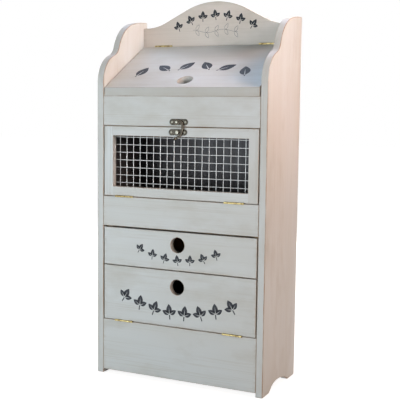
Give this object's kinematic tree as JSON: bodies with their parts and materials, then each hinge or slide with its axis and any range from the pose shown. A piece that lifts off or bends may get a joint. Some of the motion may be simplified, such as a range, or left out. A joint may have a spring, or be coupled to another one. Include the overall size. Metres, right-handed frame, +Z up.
{
  "type": "tilt out vegetable bin cabinet",
  "caption": "Tall painted wooden vegetable cabinet: sloping lid over a bin with a tilt-out mesh door and hook latch, a drawer, and a tilt-out bin flap below.",
  "frame": {"origin": "on the floor, under the middle of the whole object's box", "axes": "+Z up, +X to the right seen from the front; the fronts face -Y"},
  "size_m": [0.46, 0.2276, 0.9584],
  "materials": {
    "painted_front_boards": "thin matt off-white wash over softwood, grain across",
    "painted_top_boards": "thin satin off-white wash over softwood, grain across",
    "painted_side_boards": "thin matt off-white wash over softwood, grain upright",
    "bare_softwood": "planed, bare",
    "plywood": "thin plywood, bare",
    "beech": "turned dowel, bare",
    "brass": "brass-plated, satin",
    "dark_bronze": "antique bronze, rubbed brighter on the edges",
    "galvanised_wire": "galvanised, dull",
    "steel": "zinc-plated",
    "catch_plastic": "moulded"
  },
  "bodies": {
    "cabinet": {"back_panel": "plywood", "back_panel_nails": "steel", "bottom_board": "painted_front_boards", "bottom_shelf": "bare_softwood", "cleat_screws": "steel", "crest_board": "painted_top_boards", "door_hinge_left_fixed_leaf": "brass", "door_hinge_pins": "brass", "door_hinge_right_fixed_leaf": "brass", "door_stop": "bare_softwood", "drawer_guides": "bare_softwood", "drawer_shelf": "bare_softwood", "fixed_leaf_screws": "brass", "flap_hinge_left_fixed_leaf": "brass", "flap_hinge_pins": "brass", "flap_hinge_right_fixed_leaf": "brass", "latch_base_plate": "dark_bronze", "latch_base_screws": "dark_bronze", "latch_rivet": "dark_bronze", "left_side_panel": "painted_side_boards", "lid_hinge_left_fixed_leaf": "brass", "lid_hinge_pins": "brass", "lid_hinge_right_fixed_leaf": "brass", "magnet_case": "catch_plastic", "magnet_screws": "steel", "middle_rail": "painted_front_boards", "onion_shelf": "bare_softwood", "rail_dowels": "beech", "right_side_panel": "painted_side_boards", "shelf_cleats": "bare_softwood", "top_rail": "painted_front_boards"},
    "lid": {"lid_board": "painted_top_boards", "lid_hinge_left_moving_leaf": "brass", "lid_hinge_right_moving_leaf": "brass", "lid_leaf_screws": "brass"},
    "mesh_door": {"door_bottom_rail": "painted_front_boards", "door_hinge_left_moving_leaf": "brass", "door_hinge_right_moving_leaf": "brass", "door_leaf_screws": "brass", "door_left_stile": "painted_front_boards", "door_right_stile": "painted_front_boards", "door_top_rail": "painted_front_boards", "latch_catch_plate": "dark_bronze", "latch_catch_post": "dark_bronze", "latch_catch_screws": "dark_bronze", "mesh_staples": "steel", "wire_mesh": "galvanised_wire"},
    "latch_hook": {"latch_hook": "dark_bronze"},
    "drawer": {"drawer_back": "bare_softwood", "drawer_bottom": "plywood", "drawer_front": "painted_front_boards", "drawer_left_side": "bare_softwood", "drawer_nails": "steel", "drawer_right_side": "bare_softwood"},
    "potato_flap": {"flap_hinge_left_moving_leaf": "brass", "flap_hinge_right_moving_leaf": "brass", "flap_leaf_screws": "brass", "potato_flap": "painted_front_boards", "strike_plate": "steel", "strike_screw": "steel"}
  },
  "joints": [
    {"name": "lid_hinge", "type": "hinge", "parent": "cabinet", "child": "lid", "pos_m": [0, 0.0931, 0.84721], "axis": [-1, 0, 0], "range_deg": [0, 120]},
    {"name": "mesh_door_hinge", "type": "hinge", "parent": "cabinet", "child": "mesh_door", "pos_m": [0, -0.1089, 0.4613], "axis": [1, 0, 0], "range_deg": [0, 110]},
    {"name": "latch_hook_swing", "type": "hinge", "parent": "cabinet", "child": "latch_hook", "pos_m": [-0.003, -0.1103, 0.6493], "axis": [0, -1, 0], "range_deg": [0, 95]},
    {"name": "drawer_slide", "type": "slide", "parent": "cabinet", "child": "drawer", "axis": [0, -1, 0], "range_m": [0, 0.15]},
    {"name": "potato_flap_hinge", "type": "hinge", "parent": "cabinet", "child": "potato_flap", "pos_m": [0, -0.1089, 0.1438], "axis": [1, 0, 0], "range_deg": [0, 175]}
  ]
}
